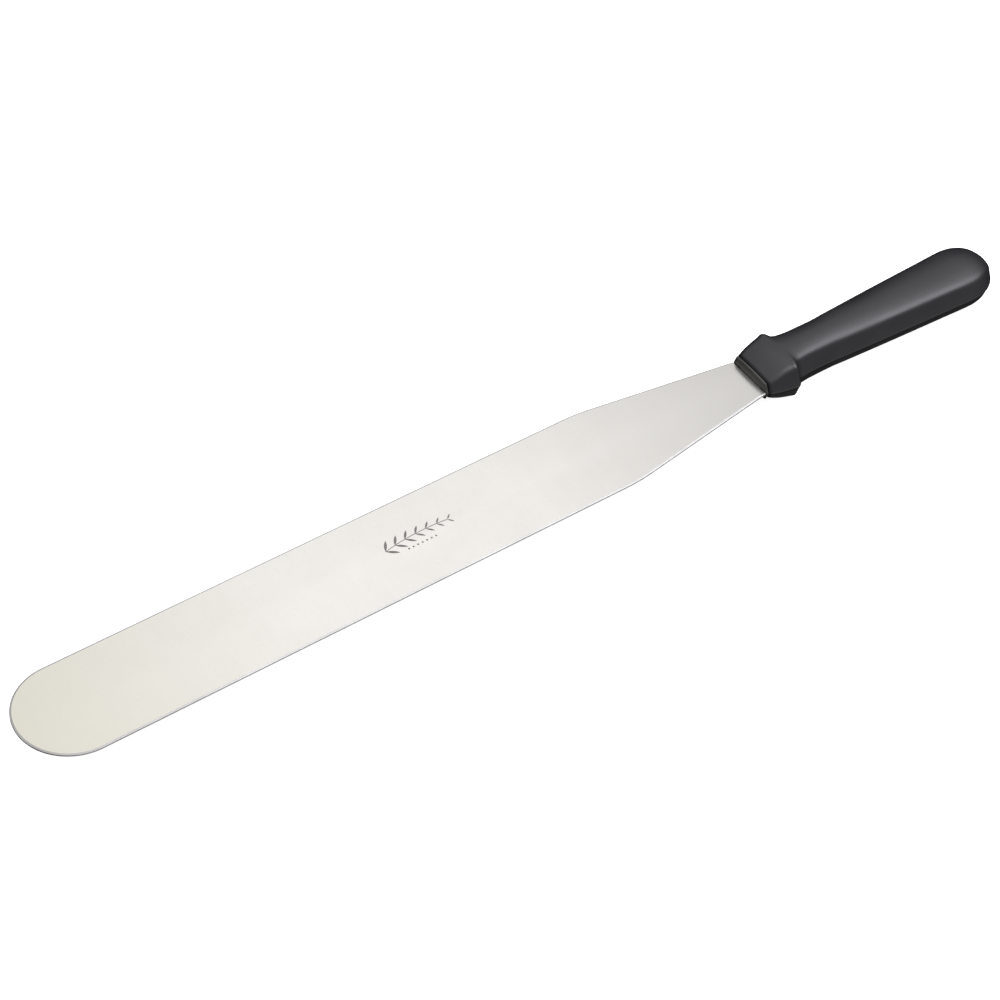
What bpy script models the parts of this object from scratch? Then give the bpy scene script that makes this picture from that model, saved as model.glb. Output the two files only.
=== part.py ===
"""Ink knife: a long round-ended spreading blade with a faceted, two-layer moulded handle.

The blade lies flat. +X runs from the tip to the butt of the handle, and +Z is up. The origin
is under the middle of the knife's length and width, on the plane of the handle's underside.
Stations along the knife (x) are measured from the collar's front face, towards the butt.
"""
import math

import bmesh
import bpy

# Driving dimensions, in metres
BLADE_LENGTH = 0.3556           # tip to the collar's front face
BLADE_WIDTH = 0.0493            # across the blade behind its round tip
SHOULDER_WIDTH = 0.0475         # across the blade where the neck begins
SHOULDER_STATION = -0.0744      # where the straight edges would meet the neck's edges
SHOULDER_RADIUS = 0.080
NECK_WIDTH = 0.0234             # across the blade at the collar
BLADE_THICKNESS = 0.0012
TANG_WIDTH_FRONT = 0.014        # through the front cap
TANG_WIDTH_REAR = 0.010         # between the core halves
TANG_TAPER_STATION = 0.024
TANG_LENGTH = 0.092
HANDLE_LENGTH = 0.128
HANDLE_THICKNESS = 0.0192
GAP = 0.0003                    # clearance between neighbouring pieces
PIN_DIAMETER = 0.004
PIN_STATIONS = (0.036, 0.076)

# Outer form of the handle behind the front cap, one row a station:
# (x, half-width at the middle plane, half-width at the facet edge, half-height of that edge)
HANDLE_STATIONS = (
    (0.0018, 0.0124, 0.0105, 0.0044),
    (0.0024, 0.0128, 0.0109, 0.0048),
    (0.0135, 0.0155, 0.0123, 0.0086),
    (0.0150, 0.0158, 0.0127, 0.0088),
    (0.0161, 0.0152, 0.0122, 0.0087),
    (0.0175, 0.0127, 0.0099, 0.0084),
    (0.0200, 0.0117, 0.0090, 0.0081),
    (0.0270, 0.0111, 0.0084, 0.0079),
    (0.0360, 0.0112, 0.0084, 0.0077),
    (0.0470, 0.0119, 0.0090, 0.0076),
    (0.0700, 0.0131, 0.0102, 0.0076),
    (0.0980, 0.0144, 0.0114, 0.0076),
    (0.1120, 0.0149, 0.0120, 0.0075),
)
HANDLE_HALF_HEIGHTS = {0.0018: 0.0052, 0.0024: 0.0056}   # elsewhere half the thickness
CROWN_SHARE = 0.62              # width of the flat crown over the width between facet edges
BUTT_RINGS = 6

# Front cap: the same columns, with the half-height of its crown added
CAP_STATIONS = (
    (0.0000, 0.0113, 0.0096, 0.0035, 0.0042),
    (0.0005, 0.0119, 0.0103, 0.0042, 0.0049),
    (0.0011, 0.0121, 0.0105, 0.0044, 0.0051),
    (0.0015, 0.0118, 0.0102, 0.0041, 0.0048),
)
SPIGOT_END = 0.008

# Hollow of the handle: (x, half-width at the middle plane, half-width at the top, half-height)
CAVITY_STATIONS = (
    (-0.005, 0.0094, 0.0080, 0.0027),
    (0.0083, 0.0094, 0.0080, 0.0027),
    (0.0220, 0.0088, 0.0064, 0.0054),
    (0.1000, 0.0117, 0.0092, 0.0054),
    (0.1200, 0.0088, 0.0068, 0.0042),
)
CORE_FRONT = SPIGOT_END + GAP
CORE_END = 0.1194

# Where the collar's front face and the blade's middle plane lie in the part's frame
FACE_X = (BLADE_LENGTH - HANDLE_LENGTH) / 2
PLANE_Z = HANDLE_THICKNESS / 2


def clear_scene():
    for old in list(bpy.data.objects):
        bpy.data.objects.remove(old, do_unlink=True)


def make_collection(name):
    collection = bpy.data.collections.new(name)
    bpy.context.scene.collection.children.link(collection)
    return collection


def make_material(name, color, roughness, metallic=0.0):
    material = bpy.data.materials.new(name)
    material.use_nodes = True
    shader = material.node_tree.nodes["Principled BSDF"]
    shader.inputs["Base Color"].default_value = (*color, 1.0)
    shader.inputs["Roughness"].default_value = roughness
    shader.inputs["Metallic"].default_value = metallic
    return material


def place(obj, collection, material=None):
    """Put an object made round the collar's face and the blade's plane at its place."""
    obj.location = (FACE_X, 0.0, PLANE_Z)
    collection.objects.link(obj)
    if material:
        obj.data.materials.append(material)
    return obj


def cut(target, cutter):
    """Take the cutter's shape out of the target."""
    cutter.hide_render = True
    cutter.display_type = "WIRE"
    modifier = target.modifiers.new("Cut " + cutter.name, "BOOLEAN")
    modifier.operation = "DIFFERENCE"
    modifier.solver = "EXACT"
    modifier.object = cutter


def loft(name, rings):
    """Skin a row of rings, each a list of (x, y, z) points in the same order, and cap both ends."""
    mesh = bpy.data.meshes.new(name)
    shape = bmesh.new()
    rows = [[shape.verts.new(point) for point in ring] for ring in rings]
    for row, following in zip(rows, rows[1:]):
        for k in range(len(row)):
            n = (k + 1) % len(row)
            shape.faces.new((row[k], following[k], following[n], row[n]))
    shape.faces.new(rows[0])
    shape.faces.new(list(reversed(rows[-1])))
    bmesh.ops.recalc_face_normals(shape, faces=shape.faces)
    shape.to_mesh(mesh)
    shape.free()
    return bpy.data.objects.new(name, mesh)


def facet_ring(x, middle, edge, edge_height, crown_height):
    """A handle section: flat crown, sloping top facets, side facets that meet at the middle plane."""
    crown = edge * CROWN_SHARE
    quarter = [(crown, crown_height), (edge, edge_height), (middle, 0.0)]
    right = quarter + [(y, -z) for y, z in reversed(quarter[:2])]
    left = [(-y, z) for y, z in reversed(right)]
    return [(x, y, z) for y, z in right + left]


def hollow_ring(x, middle, edge, height):
    """A six-cornered section for the handle's hollow and the spigot that plugs it."""
    return [(x, edge, height), (x, middle, 0.0), (x, edge, -height),
            (x, -edge, -height), (x, -middle, 0.0), (x, -edge, height)]


def blend_row(rows, x):
    """The row of sizes at station x, read between the two rows on either side of it."""
    for low, high in zip(rows, rows[1:]):
        if low[0] <= x <= high[0]:
            share = (x - low[0]) / (high[0] - low[0])
            return [a + (b - a) * share for a, b in zip(low, high)]
    raise ValueError("no station at %.4f" % x)


def blade_outline():
    """The blade's flat outline, tip at -X: half of it by formula, then its mirror image."""
    half = []
    radius = BLADE_WIDTH / 2
    steps = 16
    for k in range(steps + 1):
        angle = math.pi / 2 * k / steps
        half.append((-BLADE_LENGTH + radius - radius * math.cos(angle), radius * math.sin(angle)))
    half += shoulder_arc()
    half.append((-GAP, NECK_WIDTH / 2))
    half.append((-GAP, TANG_WIDTH_FRONT / 2))
    half.append((SPIGOT_END, TANG_WIDTH_FRONT / 2))
    half.append((TANG_TAPER_STATION, TANG_WIDTH_REAR / 2))
    end_radius = TANG_WIDTH_REAR / 2
    steps = 8
    for k in range(steps + 1):
        angle = math.pi / 2 * k / steps
        half.append((TANG_LENGTH - end_radius + end_radius * math.sin(angle), end_radius * math.cos(angle)))
    return half + [(x, -y) for x, y in reversed(half[1:-1])]


def shoulder_arc():
    """The arc that rounds the shoulder between the blade's long edge and its neck's edge."""
    corner = (SHOULDER_STATION, SHOULDER_WIDTH / 2)
    start = (-BLADE_LENGTH + BLADE_WIDTH / 2, BLADE_WIDTH / 2)
    end = (0.0, NECK_WIDTH / 2)
    along = math.atan2(corner[1] - start[1], corner[0] - start[0])
    away = math.atan2(end[1] - corner[1], end[0] - corner[0])
    reach = SHOULDER_RADIUS * math.tan((along - away) / 2)
    first = (corner[0] - reach * math.cos(along), corner[1] - reach * math.sin(along))
    centre = (first[0] + SHOULDER_RADIUS * math.sin(along), first[1] - SHOULDER_RADIUS * math.cos(along))
    steps = 6
    arc = []
    for k in range(steps + 1):
        angle = math.pi / 2 + along + (away - along) * k / steps
        arc.append((centre[0] + SHOULDER_RADIUS * math.cos(angle), centre[1] + SHOULDER_RADIUS * math.sin(angle)))
    return arc


def add_spline(curve, points):
    spline = curve.splines.new("POLY")
    spline.points.add(len(points) - 1)
    for spot, (x, y) in zip(spline.points, points):
        spot.co = (x, y, 0.0, 1.0)
    spline.use_cyclic_u = True


def circle_points(x, radius, steps=20):
    return [(x + radius * math.cos(2 * math.pi * k / steps), radius * math.sin(2 * math.pi * k / steps))
            for k in range(steps)]


def build_blade(collection):
    """One steel stamping: round tip, shoulders, neck and the tang with its two pin holes."""
    curve = bpy.data.curves.new("blade", "CURVE")
    curve.dimensions = "2D"
    curve.fill_mode = "BOTH"
    curve.extrude = BLADE_THICKNESS / 2
    add_spline(curve, blade_outline())
    for x in PIN_STATIONS:
        add_spline(curve, circle_points(x, PIN_DIAMETER / 2 + GAP))
    steel = make_material("blade_steel", (0.80, 0.78, 0.75), 0.32, 1.0)
    return place(bpy.data.objects.new("blade", curve), collection, steel)


def butt_rings():
    """Rings that close the handle: a half circle in plan, and a tighter curve in profile."""
    x, middle, edge, height = HANDLE_STATIONS[-1]
    crown_height = HANDLE_THICKNESS / 2
    reach = HANDLE_LENGTH - x
    rings = []
    for k in range(1, BUTT_RINGS + 1):
        angle = math.radians(86) * k / BUTT_RINGS
        plan = math.cos(angle) ** 0.9
        profile = math.cos(angle) ** 0.6
        rings.append(facet_ring(x + reach * math.sin(angle) / math.sin(math.radians(86)),
                                middle * plan, edge * plan, height * profile, crown_height * profile))
    return rings


def build_shell(collection, cutters):
    """The outer moulding: collar, guard, waist, body and round butt, hollow from the front."""
    rings = []
    for row in HANDLE_STATIONS:
        crown_height = HANDLE_HALF_HEIGHTS.get(row[0], HANDLE_THICKNESS / 2)
        rings.append(facet_ring(*row, crown_height))
    shell = loft("handle_shell", rings + butt_rings())
    place(shell, collection, make_material("handle_black", (0.035, 0.036, 0.038), 0.38))
    hollow = loft("handle_hollow", [hollow_ring(*row) for row in CAVITY_STATIONS])
    cut(shell, place(hollow, cutters))
    return shell


def build_front_cap(collection, cutters):
    """The cap that closes the handle's mouth: a rounded flange, a spigot and the tang's slot."""
    spigot = [size - GAP for size in CAVITY_STATIONS[0][1:]]
    x_flange = CAP_STATIONS[-1][0]
    flange = loft("front_cap", [facet_ring(*row) for row in CAP_STATIONS])
    place(flange, collection, make_material("cap_black", (0.030, 0.031, 0.033), 0.42))
    tenon = loft("cap_spigot", [hollow_ring(x_flange - 0.001, *spigot), hollow_ring(SPIGOT_END, *spigot)])
    place(tenon, cutters)
    tenon.hide_render = True
    tenon.display_type = "WIRE"
    union = flange.modifiers.new("Add spigot", "BOOLEAN")
    union.operation = "UNION"
    union.solver = "EXACT"
    union.object = tenon
    half_width = TANG_WIDTH_FRONT / 2 + GAP
    half_height = BLADE_THICKNESS / 2 + GAP
    ends = (-0.002, SPIGOT_END + 0.002)
    slot = loft("cap_slot", [hollow_ring(x, half_width, half_width, half_height) for x in ends])
    cut(flange, place(slot, cutters))
    return flange


def core_ring(x, side):
    """Half of the core's section: flat on the parting plane, flat-topped, with sloping sides."""
    _, middle, edge, height = blend_row(CAVITY_STATIONS, x)
    split = GAP / 2
    outline = [(middle - GAP, split), (edge - GAP, height - GAP),
               (GAP - edge, height - GAP), (GAP - middle, split)]
    return [(x, y, z * side) for y, z in outline]


def build_core_half(name, side, collection, cutters, pocket, holes):
    """One half of the core that fills the hollow and grips the tang; side is +1 over, -1 under."""
    stations = (CORE_FRONT, 0.022, 0.100, CORE_END)
    half = loft(name, [core_ring(x, side) for x in stations])
    place(half, collection, make_material(name + "_grey", (0.10, 0.10, 0.105), 0.55))
    cut(half, pocket)
    for hole in holes:
        cut(half, hole)
    return half


def tang_pocket(cutters):
    """The room that the two core halves leave round the tang."""
    front = TANG_WIDTH_FRONT / 2 + GAP
    rear = TANG_WIDTH_REAR / 2 + GAP
    half_height = BLADE_THICKNESS / 2 + GAP
    rows = ((0.006, front), (SPIGOT_END, front), (TANG_TAPER_STATION, rear), (TANG_LENGTH + GAP, rear))
    return place(loft("tang_pocket", [hollow_ring(x, w, w, half_height) for x, w in rows]), cutters)


def pin_body(name, radius, length, x):
    """An upright cylinder at station x, centred on the blade's plane."""
    mesh = bpy.data.meshes.new(name)
    shape = bmesh.new()
    bmesh.ops.create_cone(shape, cap_ends=True, segments=20, radius1=radius, radius2=radius, depth=length)
    bmesh.ops.translate(shape, verts=shape.verts, vec=(x, 0.0, 0.0))
    shape.to_mesh(mesh)
    shape.free()
    return bpy.data.objects.new(name, mesh)


def build_pin(name, x, collection):
    """A steel pin through both core halves and the tang, flush with the core."""
    height = blend_row(CAVITY_STATIONS, x)[3]
    pin = pin_body(name, PIN_DIAMETER / 2, 2 * (height - GAP), x)
    pin.data.shade_smooth()
    pin.data.set_sharp_from_angle(angle=math.radians(40))
    return place(pin, collection, make_material(name + "_steel", (0.62, 0.62, 0.63), 0.35, 1.0))


def main():
    clear_scene()
    knife = make_collection("ink_knife")
    cutters = make_collection("cutters")
    build_blade(knife)
    build_shell(knife, cutters)
    build_front_cap(knife, cutters)
    pocket = tang_pocket(cutters)
    holes = []
    for k, x in enumerate(PIN_STATIONS):
        hole = pin_body("pin_hole_%d" % (k + 1), PIN_DIAMETER / 2 + GAP, HANDLE_THICKNESS, x)
        holes.append(place(hole, cutters))
    build_core_half("core_top", 1, knife, cutters, pocket, holes)
    build_core_half("core_bottom", -1, knife, cutters, pocket, holes)
    for name, x in zip(("tang_pin_front", "tang_pin_rear"), PIN_STATIONS):
        build_pin(name, x, knife)


main()
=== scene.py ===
"""Ink knife: a long round-ended spreading blade and its moulded handle, finished for a studio view.

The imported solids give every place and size. Stations (x) along the knife are measured from the
collar's front face towards the butt of the handle; y is across the knife and z is up.
"""
import math

import bmesh
import bpy
from mathutils import Matrix, Vector


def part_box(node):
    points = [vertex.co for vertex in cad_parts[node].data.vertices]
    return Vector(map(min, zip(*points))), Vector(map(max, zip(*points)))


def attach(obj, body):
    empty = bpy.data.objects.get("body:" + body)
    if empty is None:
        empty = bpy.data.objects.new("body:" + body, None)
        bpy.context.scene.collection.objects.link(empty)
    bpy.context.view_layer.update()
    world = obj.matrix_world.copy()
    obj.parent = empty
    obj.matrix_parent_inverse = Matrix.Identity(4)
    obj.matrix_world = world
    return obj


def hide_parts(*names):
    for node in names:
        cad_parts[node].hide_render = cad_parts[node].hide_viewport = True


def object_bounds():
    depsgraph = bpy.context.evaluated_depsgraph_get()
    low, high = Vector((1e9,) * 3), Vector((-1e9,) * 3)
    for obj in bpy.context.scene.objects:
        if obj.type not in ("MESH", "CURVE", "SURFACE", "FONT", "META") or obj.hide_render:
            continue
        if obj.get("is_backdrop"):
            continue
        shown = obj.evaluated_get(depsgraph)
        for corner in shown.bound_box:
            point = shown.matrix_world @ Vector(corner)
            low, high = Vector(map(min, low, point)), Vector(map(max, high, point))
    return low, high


bl_info = {
    "name": "Ink Knife",
    "version": (1, 0, 0),
    "blender": (4, 5, 0),
    "location": "3D View > Sidebar > Ink Knife",
    "description": "Builds an ink knife with a ground steel blade and a two-layer moulded handle",
    "category": "Add Mesh",
}

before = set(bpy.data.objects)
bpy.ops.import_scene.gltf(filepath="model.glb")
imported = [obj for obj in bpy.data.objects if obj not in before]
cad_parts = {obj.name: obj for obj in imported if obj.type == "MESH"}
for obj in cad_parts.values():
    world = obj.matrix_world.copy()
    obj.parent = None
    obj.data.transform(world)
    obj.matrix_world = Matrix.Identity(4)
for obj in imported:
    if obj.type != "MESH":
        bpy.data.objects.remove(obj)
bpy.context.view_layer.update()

# Places and sizes that the solids give
BLADE_LOW, BLADE_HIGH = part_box("blade")
SHELL_LOW, SHELL_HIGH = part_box("handle_shell")
CAP_LOW, CAP_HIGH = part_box("front_cap")
FACE_X = CAP_LOW.x                              # the collar's front face
PLANE_Z = (BLADE_LOW.z + BLADE_HIGH.z) / 2      # the blade's middle plane
BLADE_LENGTH = FACE_X - BLADE_LOW.x
BLADE_WIDTH = BLADE_HIGH.y - BLADE_LOW.y
BLADE_THICKNESS = BLADE_HIGH.z - BLADE_LOW.z
TANG_LENGTH = BLADE_HIGH.x - FACE_X
HANDLE_LENGTH = SHELL_HIGH.x - FACE_X
HALF_THICKNESS = (SHELL_HIGH.z - SHELL_LOW.z) / 2
SPIGOT_END = CAP_HIGH.x - FACE_X
MM = 0.001

# Outer form of the handle, one row a station: (x, half-width at the middle plane, half-width at
# the crease, half-height at the crease, half-height of the crown)
HANDLE_ROWS = (
    (0.0018, 0.0119, 0.0100, 0.0039, 0.0047),
    (0.0026, 0.0128, 0.0109, 0.0048, 0.0056),
    (0.0135, 0.0155, 0.0123, 0.0086, HALF_THICKNESS),
    (0.0150, 0.0158, 0.0127, 0.0088, HALF_THICKNESS),
    (0.0161, 0.0152, 0.0122, 0.0087, HALF_THICKNESS),
    (0.0175, 0.0127, 0.0099, 0.0084, HALF_THICKNESS),
    (0.0200, 0.0117, 0.0090, 0.0081, HALF_THICKNESS),
    (0.0270, 0.0111, 0.0084, 0.0079, HALF_THICKNESS),
    (0.0360, 0.0112, 0.0084, 0.0077, HALF_THICKNESS),
    (0.0470, 0.0119, 0.0090, 0.0076, HALF_THICKNESS),
    (0.0700, 0.0131, 0.0102, 0.0076, HALF_THICKNESS),
    (0.0980, 0.0144, 0.0114, 0.0076, HALF_THICKNESS),
    (0.1120, 0.0149, 0.0120, 0.0075, HALF_THICKNESS),
)
HOLLOW_ROWS = (
    (0.0018, 0.0094, 0.0080, 0.0027, 0.0027),
    (0.0083, 0.0094, 0.0080, 0.0027, 0.0027),
    (0.0220, 0.0088, 0.0064, 0.0054, 0.0054),
    (0.1000, 0.0117, 0.0092, 0.0054, 0.0054),
    (0.1200, 0.0088, 0.0068, 0.0042, 0.0042),
)
CAP_ROWS = (
    (0.0000, 0.0113, 0.0096, 0.0035, 0.0042),
    (0.0005, 0.0119, 0.0103, 0.0042, 0.0049),
    (0.0010, 0.0121, 0.0105, 0.0044, 0.0051),
    (0.0015, 0.0114, 0.0098, 0.0037, 0.0044),
)
GAP = 0.0003                                    # clearance between neighbouring pieces
SPIGOT_SIZES = (0.0091, 0.0077, 0.0024, 0.0024)
SLOT_SIZES = (0.0073, 0.0073, BLADE_THICKNESS / 2 + GAP, BLADE_THICKNESS / 2 + GAP)
CROWN_POWER = 2.0                               # how flat the crown stays before it falls away
BUTT_PLAN_POWER = 0.9                           # 1 is round; less is blunter
BUTT_PROFILE_POWER = 0.6
SHARP_ANGLE = 34                                # degrees; moulded edges below it are smooth


# ---- shapes -------------------------------------------------------------------------------

def new_object(name, data):
    """An object for a mesh, a light or a camera, linked to the scene."""
    thing = bpy.data.objects.new(name, data)
    bpy.context.scene.collection.objects.link(thing)
    return thing


def finished_mesh(thing):
    """The object's mesh with its modifiers applied; the object itself is removed."""
    depsgraph = bpy.context.evaluated_depsgraph_get()
    mesh = bpy.data.meshes.new_from_object(thing.evaluated_get(depsgraph))
    bpy.data.objects.remove(thing)
    return mesh


def smooth_slopes(places, values):
    """Slopes at each station for curves that run through the values and never overshoot."""
    steps = [(b - a) / (q - p) for a, b, p, q in zip(values, values[1:], places, places[1:])]
    inner = [0.0 if a * b <= 0 else 2 * a * b / (a + b) for a, b in zip(steps, steps[1:])]
    return [steps[0]] + inner + [0.0]


def sizes_at(rows, x):
    """The sizes at station x, on smooth curves through the rows."""
    places = [row[0] for row in rows]
    k = max(i for i in range(len(rows) - 1) if places[i] <= x + 1e-9)
    length = places[k + 1] - places[k]
    t = (x - places[k]) / length
    sizes = []
    for column in range(1, len(rows[0])):
        values = [row[column] for row in rows]
        slopes = smooth_slopes(places, values)
        size = values[k] + (values[k + 1] - values[k]) * (3 * t ** 2 - 2 * t ** 3)
        size += slopes[k] * length * (t ** 3 - 2 * t ** 2 + t)
        size += slopes[k + 1] * length * (t ** 3 - t ** 2)
        sizes.append(size)
    return sizes


def bend(start, corner, end, share):
    """A point on the round corner from start to end."""
    rest = 1 - share
    weights = (rest * rest, 2 * rest * share, share * share)
    return tuple(sum(w * v for w, v in zip(weights, values)) for values in zip(start, corner, end))


def section(sizes, crease, side_round):
    """Points (y, z) round a handle section: curved crown, round creases, sloping sides."""
    top_steps, crease_steps, side_steps = 9, 6, 4
    middle, edge, edge_height, crown_height = sizes
    facet = Vector((middle - edge, -edge_height))
    facet_length = facet.length
    facet.normalize()
    crease = min(crease, facet_length * 0.4, edge * 0.3)
    side_round = min(side_round, facet_length * 0.5)
    rise = crown_height - edge_height
    last_top = edge - crease
    crown = [last_top * k / top_steps for k in range(top_steps + 1)]
    quarter = [(y, edge_height + rise * (1 - (y / edge) ** CROWN_POWER)) for y in crown]
    start = quarter.pop()
    corner = (edge, edge_height)
    end = (edge + facet.x * crease, edge_height + facet.y * crease)
    quarter += [bend(start, corner, end, k / crease_steps) for k in range(crease_steps + 1)]
    low = (middle - facet.x * side_round, -facet.y * side_round)
    quarter.append(((end[0] + low[0]) / 2, (end[1] + low[1]) / 2))
    outer = (2 * middle - low[0], 0.0)
    mirrored = (low[0], -low[1])
    quarter += [bend(low, outer, mirrored, k / side_steps / 2) for k in range(side_steps + 1)]
    right = quarter + [(y, -z) for y, z in reversed(quarter[:-1])]
    return right + [(-y, z) for y, z in reversed(right[1:-1])]


def ring_at(x, points):
    """A section's points at station x, in the knife's frame."""
    return [(FACE_X + x, y, PLANE_Z + z) for y, z in points]


def steps_between(start, end, count):
    return [start + (end - start) * k / count for k in range(count)]


def skin(name, rings, flat_ends=(), pole=None, joined=False):
    """One closed skin over a row of rings, with flat ends, a pole, or its two ends joined."""
    mesh = bpy.data.meshes.new(name)
    shape = bmesh.new()
    rows = [[shape.verts.new(point) for point in ring] for ring in rings]
    pairs = list(zip(rows, rows[1:])) + ([(rows[-1], rows[0])] if joined else [])
    for row, following in pairs:
        for k in range(len(row)):
            n = (k + 1) % len(row)
            shape.faces.new((row[k], following[k], following[n], row[n]))
    for end in flat_ends:
        shape.faces.new(rows[end])
    if pole:
        tip = shape.verts.new(pole)
        last = rows[-1]
        for k in range(len(last)):
            shape.faces.new((last[k], tip, last[(k + 1) % len(last)]))
    bmesh.ops.recalc_face_normals(shape, faces=shape.faces)
    shape.to_mesh(mesh)
    shape.free()
    return mesh


def shade(mesh, degrees):
    mesh.shade_smooth()
    mesh.set_sharp_from_angle(angle=math.radians(degrees))


def make_piece(name, mesh, material, slot, *nodes):
    """Show a finished mesh as a piece of the knife."""
    mesh.materials.clear()
    mesh.materials.append(material)
    piece = new_object(name, mesh)
    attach(piece, "root")
    if nodes:
        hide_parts(*nodes)
    return piece


# ---- the blade ----------------------------------------------------------------------------

SHOULDER_WIDTH = 0.0475
SHOULDER_STATION = -0.0744
NECK_WIDTH = 0.0234
TANG_FRONT_WIDTH = 0.014
TANG_REAR_WIDTH = 0.010
TANG_TAPER_STATION = 0.024
PIN_NODES = ("tang_pin_front", "tang_pin_rear")
PIN_STATIONS = [sum(corner.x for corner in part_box(node)) / 2 - FACE_X for node in PIN_NODES]
PIN_RADIUS = (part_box(PIN_NODES[0])[1].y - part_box(PIN_NODES[0])[0].y) / 2
FLAT_NORMAL = 0.9995                            # a face this level is part of the blade's flats
BEVEL_SHARP_ANGLE = 4                           # degrees; the bevel meets the flats at more
RIM_DEPTHS = (0.0, 0.11 * MM, 0.19 * MM, 0.27 * MM)     # below the flat, going out to the rim
RIM_SHARES = (1.0, 0.30, 0.06, 0.0)                     # of the bevel's width, at each depth


def shoulder_arc(radius, steps):
    """The arc between the blade's long edge and the edge of its neck."""
    corner = Vector((SHOULDER_STATION, SHOULDER_WIDTH / 2))
    start = Vector((BLADE_WIDTH / 2 - BLADE_LENGTH, BLADE_WIDTH / 2))
    end = Vector((0.0, NECK_WIDTH / 2))
    along = math.atan2(corner.y - start.y, corner.x - start.x)
    away = math.atan2(end.y - corner.y, end.x - corner.x)
    reach = radius * math.tan((along - away) / 2)
    first = corner - reach * Vector((math.cos(along), math.sin(along)))
    centre = first + radius * Vector((math.sin(along), -math.cos(along)))
    arc = []
    for k in range(steps + 1):
        angle = math.pi / 2 + along + (away - along) * k / steps
        arc.append(centre + radius * Vector((math.cos(angle), math.sin(angle))))
    return arc


def straight(start, end, step):
    """Points from start up to, but not at, end, no further apart than step."""
    start, end = Vector(start), Vector(end)
    count = max(1, math.ceil((end - start).length / step))
    return [start.lerp(end, k / count) for k in range(count)]


def blade_outline(shoulder_radius):
    """The blade's outline from the tip round to the tang, one half and then its mirror image."""
    radius = BLADE_WIDTH / 2
    tip_steps, end_steps = 48, 12
    half = []
    for k in range(tip_steps + 1):
        angle = math.pi / 2 * k / tip_steps
        x = radius * (1 - math.cos(angle)) - BLADE_LENGTH
        half.append(Vector((x, radius * math.sin(angle))))
    shoulder = shoulder_arc(shoulder_radius, 24)
    half += straight(half[-1], shoulder[0], 6 * MM)[1:]
    half += shoulder
    neck_end = Vector((-GAP, NECK_WIDTH / 2))
    half += straight(shoulder[-1], neck_end, 4 * MM)[1:]
    end_radius = TANG_REAR_WIDTH / 2
    half += [neck_end, Vector((-GAP, TANG_FRONT_WIDTH / 2)),
             Vector((SPIGOT_END, TANG_FRONT_WIDTH / 2)), Vector((TANG_TAPER_STATION, end_radius))]
    for k in range(end_steps + 1):
        angle = math.pi / 2 * k / end_steps
        x = TANG_LENGTH - end_radius * (1 - math.sin(angle))
        half.append(Vector((x, end_radius * math.cos(angle))))
    return half + [Vector((p.x, -p.y)) for p in reversed(half[1:-1])]


def inward(outline, k):
    """The way into the blade at point k of its outline, long enough to keep corners square."""
    before = (outline[k] - outline[k - 1]).normalized()
    after = (outline[(k + 1) % len(outline)] - outline[k]).normalized()
    normal = Vector((before.y + after.y, -before.x - after.x)).normalized()
    return normal / max(0.5, normal.dot(Vector((before.y, -before.x))))


def bevel_width(point, settings):
    """Width of the bevel: widest round the tip, narrower down the edges, 0.1 mm on the tang."""
    if point.x > -2 * GAP:
        return 0.1 * MM
    tip_share = max(0.0, 1 - (point.x + BLADE_LENGTH) / (BLADE_WIDTH * 0.9))
    return settings.edge_bevel + (settings.tip_bevel - settings.edge_bevel) * tip_share ** 1.5


def blade_rings(settings):
    """Rings from the blade's top face over the ground bevel and the round rim to its underside."""
    outline = blade_outline(settings.shoulder_radius)
    half = BLADE_THICKNESS / 2
    profile = [(share, half - depth) for share, depth in zip(RIM_SHARES, RIM_DEPTHS)]
    profile += [(share, -height) for share, height in reversed(profile)]
    rings = []
    for share, height in profile:
        ring = []
        for k, point in enumerate(outline):
            spot = point + inward(outline, k) * bevel_width(point, settings) * share
            ring.append((FACE_X + spot.x, spot.y, PLANE_Z + height))
        rings.append(ring)
    return rings


def cut_pin_holes(mesh):
    """Take the two pin holes out of the tang."""
    blank = new_object("blade_blank", mesh)
    drills = []
    radius = PIN_RADIUS + GAP
    for x in PIN_STATIONS:
        drill_mesh = bpy.data.meshes.new("drill")
        shape = bmesh.new()
        bmesh.ops.create_cone(shape, cap_ends=True, segments=40, radius1=radius, radius2=radius,
                              depth=BLADE_THICKNESS * 4)
        bmesh.ops.translate(shape, verts=shape.verts, vec=(FACE_X + x, 0.0, PLANE_Z))
        shape.to_mesh(drill_mesh)
        shape.free()
        drill = new_object("drill", drill_mesh)
        cut = blank.modifiers.new("Pin hole", "BOOLEAN")
        cut.operation = "DIFFERENCE"
        cut.solver = "EXACT"
        cut.object = drill
        drills.append(drill)
    result = finished_mesh(blank)
    for drill in drills:
        bpy.data.objects.remove(drill)
    return result


def build_blade(settings):
    """The blade and tang in one closed skin; bevel and rim duller than the flats, darker with
    painted shade.
    """
    mesh = cut_pin_holes(skin("blade", blade_rings(settings), flat_ends=(0, -1)))
    shade(mesh, BEVEL_SHARP_ANGLE)
    steel = brushed_steel("ground_steel", settings.steel_color, settings.shaded_tip_color, 0.30, 1.0)
    edge = cut_edge_steel("cut_edge_steel", settings.edge_color, settings.shaded_tip_edge_color)
    blade = make_piece("ground_blade", mesh, steel, "blade_steel", "blade")
    mesh.materials.append(edge)
    for face in mesh.polygons:
        face.material_index = 0 if abs(face.normal.z) > FLAT_NORMAL else 1
    return blade


# ---- the etched sprig on the blade ---------------------------------------------------------

LEAF_SHRINK = 0.55                              # how much smaller the last leaf is than the first
STALK_GAP = 0.05 * MM                           # from a leaf's stalk end to the stem's middle
DOT_DROP = 1.3                                  # from the stem's start down to the dots, in rises
ETCH_SHARP_ANGLE = 40                           # degrees


def link(tree, source, target):
    tree.links.new(source, target)


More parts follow.
